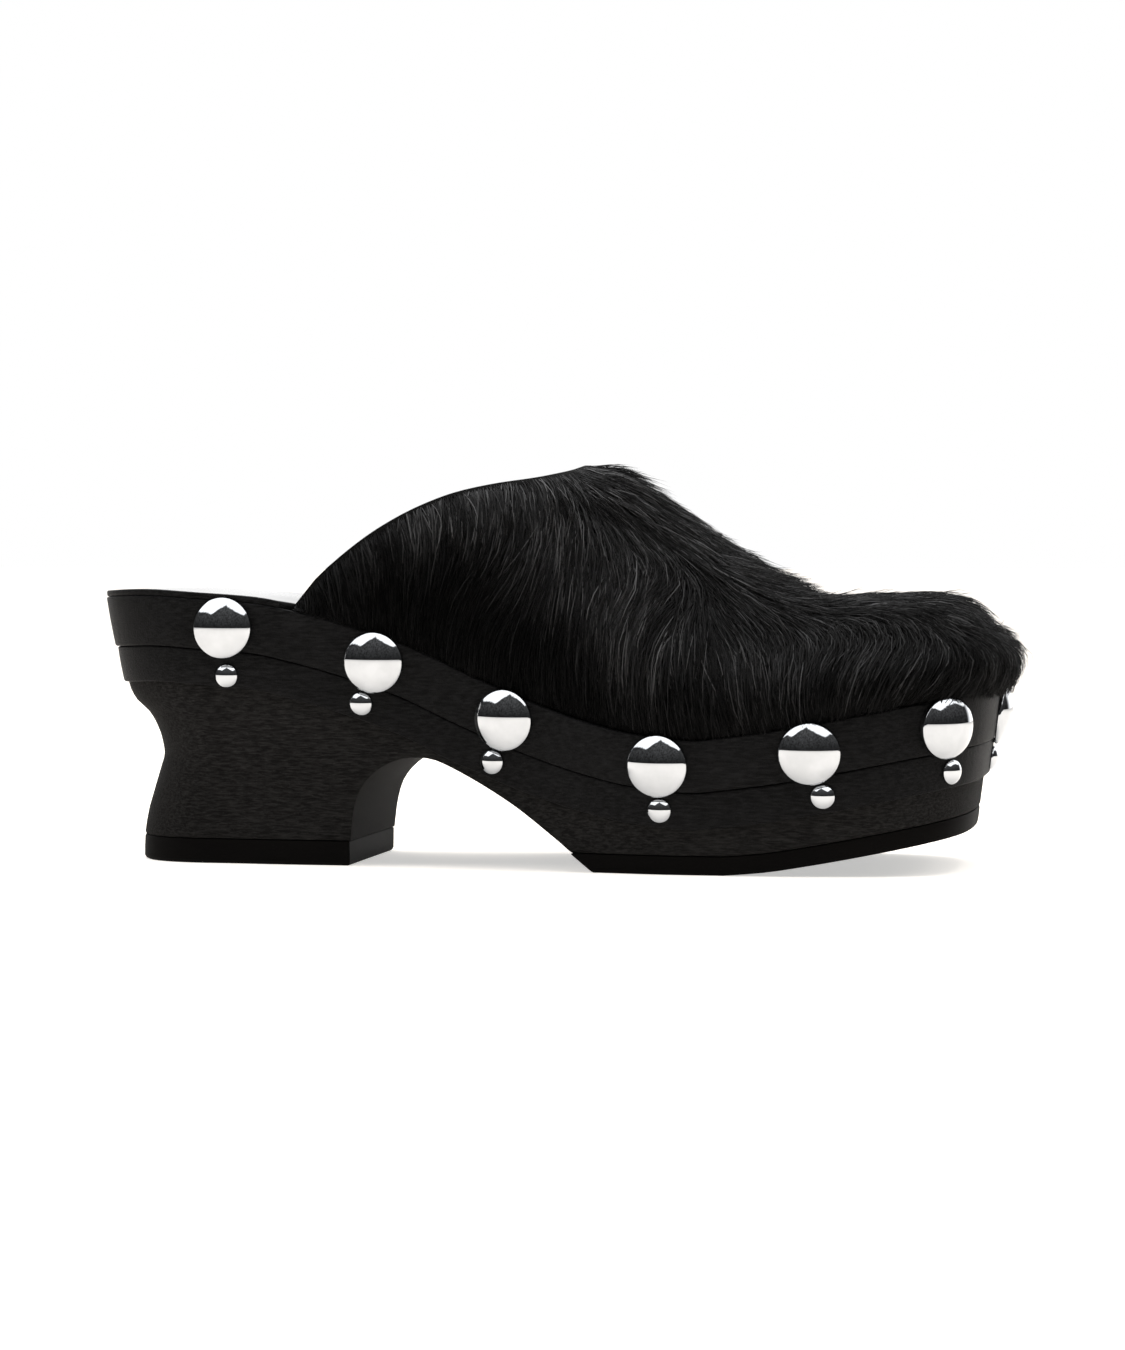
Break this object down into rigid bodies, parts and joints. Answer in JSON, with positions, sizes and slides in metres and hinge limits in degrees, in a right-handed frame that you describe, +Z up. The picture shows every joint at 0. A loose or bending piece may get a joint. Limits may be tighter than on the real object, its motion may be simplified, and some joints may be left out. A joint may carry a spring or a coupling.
{
  "type": "clog",
  "caption": "Backless platform clog: carved black wooden sole with a waisted heel, two leather edge bands, chrome dome nails and a long-haired black upper.",
  "frame": {"origin": "under the middle of the shoe's bounding box, on the floor", "axes": "+X toward the toe, +Z up, +Y toward the inner side of the right foot"},
  "size_m": [0.264, 0.1068, 0.1132],
  "materials": {
    "stained_wood": "black stain, satin, fine brushed grain",
    "black_rubber": "matte",
    "band_leather": "smooth, satin",
    "insole_leather": "smooth, satin",
    "hair_on_hide": "long glossy black hair on hide",
    "chrome": "polished"
  },
  "bodies": {
    "root": {"wood_sole": "stained_wood", "heel_tip": "black_rubber", "forepart_sole": "black_rubber", "upper_band": "band_leather", "lower_band": "band_leather", "insole": "insole_leather", "upper": "hair_on_hide", "large_dome_01": "chrome", "small_dome_01": "chrome", "large_dome_02": "chrome", "small_dome_02": "chrome", "large_dome_03": "chrome", "small_dome_03": "chrome", "large_dome_04": "chrome", "small_dome_04": "chrome", "large_dome_05": "chrome", "small_dome_05": "chrome", "large_dome_06": "chrome", "small_dome_06": "chrome", "large_dome_07": "chrome", "small_dome_07": "chrome", "large_dome_08": "chrome", "small_dome_08": "chrome", "large_dome_09": "chrome", "small_dome_09": "chrome", "large_dome_10": "chrome", "small_dome_10": "chrome", "large_dome_11": "chrome", "small_dome_11": "chrome", "large_dome_12": "chrome", "small_dome_12": "chrome", "large_dome_13": "chrome", "small_dome_13": "chrome"}
  },
  "joints": []
}
